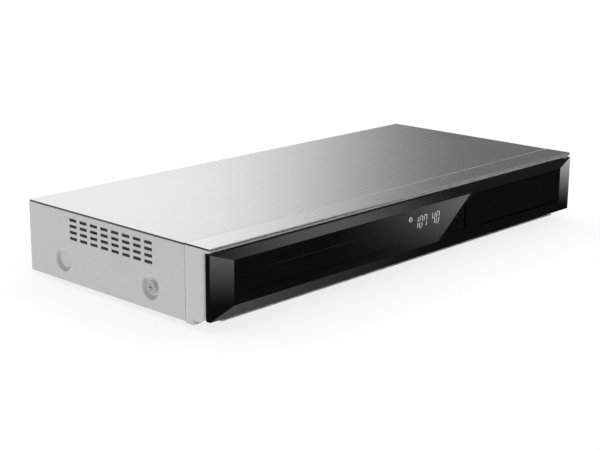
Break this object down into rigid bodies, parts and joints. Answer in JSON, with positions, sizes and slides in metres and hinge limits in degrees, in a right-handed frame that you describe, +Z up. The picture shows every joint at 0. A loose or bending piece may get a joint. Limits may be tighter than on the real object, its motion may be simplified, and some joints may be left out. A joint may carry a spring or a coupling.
{
  "type": "home video recorder",
  "caption": "Slim full-width home video recorder with a disc tray, hard disc, lit display, drop-down flap over card and USB slots, sockets and a fan at the back.",
  "frame": {"origin": "middle of the underside of the whole object's box, on the surface that the foot pads stand on", "axes": "+X to the object's right seen from the front, +Y to the back, +Z up"},
  "size_m": [0.43, 0.206, 0.059],
  "materials": {
    "brushed_aluminium": "fine brushed, satin",
    "painted_steel": "light grey, fine matte texture",
    "silver_frame": "silver metallic paint, satin",
    "black_gloss": "piano black, high gloss",
    "smoked_window": "smoked acrylic, high gloss",
    "lit_segments": "self-lit",
    "black_plastic": "fine moulded texture",
    "grey_plastic": "satin moulded",
    "dark_rubber": "matte",
    "zinc_steel": "zinc-plated sheet",
    "bright_steel": "polished",
    "tin_plate": "tin-plated sheet",
    "cast_aluminium": "as cast",
    "heatsink_aluminium": "extruded",
    "brass": "turned",
    "white_gear": "acetal",
    "circuit_board": "green solder mask",
    "paper_board": "phenolic board",
    "chip_black": "epoxy",
    "winding_tape": "polyester tape",
    "flat_cable": "white film",
    "wire_red": "insulation"
  },
  "bodies": {
    "case": {"top_plate": "brushed_aluminium", "cover": "painted_steel", "front_frame": "silver_frame", "front_bezel": "black_gloss", "display_window": "smoked_window", "flap_pins": "bright_steel", "slot_panel": "black_plastic", "key_switches": "black_plastic", "front_board": "circuit_board", "display_module": "black_plastic", "display_segments": "lit_segments", "chassis_base": "zinc_steel", "rear_panel": "zinc_steel", "feet": "black_plastic", "foot_pads": "dark_rubber", "cover_screws": "bright_steel", "drive_chassis": "black_plastic", "drive_lid": "zinc_steel", "loader_motor": "bright_steel", "drive_ribbon": "flat_cable", "hdd_case": "cast_aluminium", "hdd_lid": "tin_plate", "hdd_board": "circuit_board", "hdd_bracket": "zinc_steel", "main_board": "circuit_board", "board_chips": "chip_black", "chip_heatsink": "heatsink_aluminium", "tuner_can": "tin_plate", "coax_sockets": "bright_steel", "hdmi_sockets": "tin_plate", "lan_socket": "tin_plate", "usb_socket": "tin_plate", "av_jacks": "black_plastic", "ci_cage": "tin_plate", "sd_slot": "tin_plate", "slot_board": "circuit_board", "psu_board": "paper_board", "psu_transformer": "winding_tape", "psu_capacitors": "chip_black", "psu_heatsinks": "heatsink_aluminium", "mains_inlet": "black_plastic", "fan_frame": "black_plastic", "front_ribbon": "flat_cable", "power_harness": "wire_red"},
    "tray": {"disc_tray": "grey_plastic", "tray_door": "black_gloss"},
    "pinion": {"tray_pinion": "white_gear"},
    "loader": {"motor_pinion": "brass"},
    "traverse": {"traverse_frame": "grey_plastic", "spindle_motor": "tin_plate", "sled_rails": "bright_steel", "sled_motor": "bright_steel"},
    "spindle": {"turntable": "grey_plastic"},
    "clamp": {"disc_clamp": "black_plastic"},
    "sled": {"laser_sled": "grey_plastic"},
    "lead": {"lead_screw": "brass"},
    "flap": {"flap": "black_gloss"},
    "power_key": {"power_button": "grey_plastic"},
    "eject_key": {"eject_button": "grey_plastic"},
    "fan": {"fan_rotor": "black_plastic"}
  },
  "joints": [
    {"name": "tray_slide", "type": "slide", "parent": "case", "child": "tray", "axis": [0, -1, 0], "range_m": [0, 0.135]},
    {"name": "pinion_spin", "type": "hinge", "parent": "case", "child": "pinion", "pos_m": [-0.056, -0.079, 0.027], "axis": [0, 0, 1], "range_deg": [-5, 970]},
    {"name": "loader_spin", "type": "hinge", "parent": "case", "child": "loader", "pos_m": [-0.04971, -0.06171, 0.023], "axis": [0, 0, 1], "range_deg": [-3490, 5]},
    {"name": "traverse_lift", "type": "hinge", "parent": "case", "child": "traverse", "pos_m": [-0.1115, 0.054, 0.018], "axis": [-1, 0, 0], "range_deg": [0, 3]},
    {"name": "spindle_spin", "type": "hinge", "parent": "traverse", "child": "spindle", "pos_m": [-0.108, -0.026, 0.022], "axis": [0, 0, 1], "continuous": true},
    {"name": "clamp_spin", "type": "hinge", "parent": "case", "child": "clamp", "pos_m": [-0.108, -0.026, 0.041], "axis": [0, 0, 1], "continuous": true},
    {"name": "sled_slide", "type": "slide", "parent": "traverse", "child": "sled", "axis": [0, 1, 0], "range_m": [0, 0.034]},
    {"name": "lead_spin", "type": "hinge", "parent": "traverse", "child": "lead", "pos_m": [-0.078, 0.02, 0.0218], "axis": [0, 1, 0], "range_deg": [-5, 4100]},
    {"name": "flap_hinge", "type": "hinge", "parent": "case", "child": "flap", "pos_m": [0.135, -0.1015, 0.0215], "axis": [1, 0, 0], "range_deg": [0, 90]},
    {"name": "power_press", "type": "slide", "parent": "case", "child": "power_key", "axis": [0, 1, 0], "range_m": [0, 0.0004], "stiffness_N_per_m": 250},
    {"name": "eject_press", "type": "slide", "parent": "case", "child": "eject_key", "axis": [0, 1, 0], "range_m": [0, 0.0004], "stiffness_N_per_m": 250},
    {"name": "fan_spin", "type": "hinge", "parent": "case", "child": "fan", "pos_m": [-0.17, 0.089, 0.03], "axis": [0, 1, 0], "continuous": true}
  ],
  "couplings": [
    {"joint": "pinion_spin", "follows": "tray_slide", "rad_per_m": 125},
    {"joint": "loader_spin", "follows": "tray_slide", "rad_per_m": -450},
    {"joint": "clamp_spin", "follows": "spindle_spin", "ratio": 1},
    {"joint": "lead_spin", "follows": "sled_slide", "rad_per_m": 2094.4}
  ]
}
